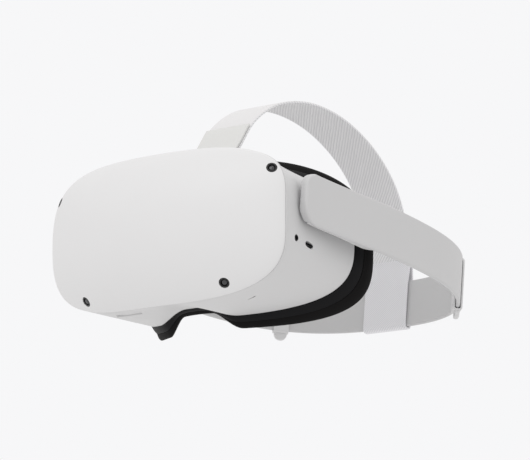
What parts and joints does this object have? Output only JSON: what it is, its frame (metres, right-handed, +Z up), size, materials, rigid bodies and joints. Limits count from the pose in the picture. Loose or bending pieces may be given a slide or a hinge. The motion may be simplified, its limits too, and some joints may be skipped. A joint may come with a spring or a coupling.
{
  "type": "virtual reality headset",
  "caption": "Standalone headset with a bowed front shell, side cameras, sliding lenses, a foam face interface and a moulded strap that tilts on side pivots.",
  "frame": {"origin": "under the middle of the whole headset, level with the lowest point of the face cushion", "axes": "+Z up as worn, -Y the way the wearer looks, +X the wearer's left"},
  "size_m": [0.2086, 0.2866, 0.1684],
  "materials": {
    "white_shell": "fine matte moulded texture",
    "grey_shell": "fine matte moulded texture",
    "black_plastic": "lightly textured",
    "black_foam": "open foam with a soft skin",
    "white_webbing": "woven elastic",
    "strap_rubber": "smooth moulded elastomer",
    "lens_glass": "polished and coated",
    "steel": "ground",
    "magnesium": "cast and blasted",
    "circuit_board": "solder mask",
    "battery_pouch": "film-covered pouch"
  },
  "bodies": {
    "headset": {"front_shell": "white_shell", "rear_housing": "grey_shell", "mid_frame": "magnesium", "lens_panel": "black_plastic", "display_panel": "lens_glass", "main_board": "circuit_board", "heat_spreader": "magnesium", "processor_shield": "steel", "battery": "battery_pouch", "blower_housing": "black_plastic", "upper_lens_rod": "steel", "lower_lens_rod": "steel", "gear_pin": "steel", "proximity_sensor": "lens_glass", "headphone_socket": "black_plastic", "usb_socket": "steel", "status_light": "lens_glass", "left_pivot_post": "steel", "right_pivot_post": "steel", "strap_anchor": "grey_shell", "top_strap_front": "white_webbing", "top_strap_tab": "white_webbing", "upper_left_camera": "black_plastic", "upper_right_camera": "black_plastic", "lower_left_camera": "black_plastic", "lower_right_camera": "black_plastic", "upper_left_camera_glass": "lens_glass", "upper_right_camera_glass": "lens_glass", "lower_left_camera_glass": "lens_glass", "lower_right_camera_glass": "lens_glass", "upper_left_frame_screw": "steel", "upper_right_frame_screw": "steel", "lower_left_frame_screw": "steel", "lower_right_frame_screw": "steel"},
    "left_lens_carriage": {"left_lens_barrel": "black_plastic", "left_lens": "lens_glass"},
    "right_lens_carriage": {"right_lens_barrel": "black_plastic", "right_lens": "lens_glass"},
    "lens_gear": {"lens_gear": "black_plastic"},
    "fan": {"fan_rotor": "black_plastic"},
    "power_button": {"power_button": "grey_shell"},
    "volume_rocker": {"volume_rocker": "grey_shell"},
    "interface": {"interface_frame": "black_plastic", "face_cushion": "black_foam"},
    "strap": {"strap_band": "strap_rubber", "left_arm": "white_shell", "right_arm": "white_shell", "left_speaker": "black_plastic", "right_speaker": "black_plastic", "rear_sleeve": "white_webbing", "top_strap": "white_webbing"},
    "left_slider": {"left_slider": "white_shell"},
    "right_slider": {"right_slider": "white_shell"}
  },
  "joints": [
    {"name": "left_lens_slide", "type": "slide", "parent": "headset", "child": "left_lens_carriage", "axis": [1, 0, 0], "range_m": [-0.0025, 0.0025]},
    {"name": "right_lens_slide", "type": "slide", "parent": "headset", "child": "right_lens_carriage", "axis": [1, 0, 0], "range_m": [-0.0025, 0.0025]},
    {"name": "lens_gear_turn", "type": "hinge", "parent": "headset", "child": "lens_gear", "pos_m": [0, -0.10131, 0.08257], "axis": [0, 1, 0], "range_deg": [-36, 36]},
    {"name": "fan_spin", "type": "hinge", "parent": "headset", "child": "fan", "pos_m": [0.024, -0.13131, 0.05857], "axis": [0, 1, 0], "continuous": true},
    {"name": "power_button_press", "type": "slide", "parent": "headset", "child": "power_button", "axis": [1, 0, 0], "range_m": [0, 0.0008], "stiffness_N_per_m": 900, "springref_m": -0.0008},
    {"name": "volume_rocker_tilt", "type": "hinge", "parent": "headset", "child": "volume_rocker", "pos_m": [-0.0316, -0.10821, 0.00987], "axis": [0, 1, 0], "range_deg": [-2.5, 2.5], "stiffness_Nm_per_rad": 0.2},
    {"name": "interface_pull", "type": "slide", "parent": "headset", "child": "interface", "axis": [0, 1, 0], "range_m": [0, 0.03]},
    {"name": "strap_tilt", "type": "hinge", "parent": "headset", "child": "strap", "pos_m": [0, -0.07781, 0.07217], "axis": [1, 0, 0], "range_deg": [-18, 18]},
    {"name": "left_slider_move", "type": "hinge", "parent": "strap", "child": "left_slider", "pos_m": [0.02031, 0.06193, 0.05526], "axis": [0, 0.1201, 0.9928], "range_deg": [-4, 4]},
    {"name": "right_slider_move", "type": "hinge", "parent": "strap", "child": "right_slider", "pos_m": [-0.02031, 0.06193, 0.05526], "axis": [0, 0.1201, 0.9928], "range_deg": [-4, 4]}
  ],
  "couplings": [
    {"joint": "right_lens_slide", "follows": "left_lens_slide", "ratio": -1},
    {"joint": "lens_gear_turn", "follows": "left_lens_slide", "rad_per_m": 250}
  ]
}
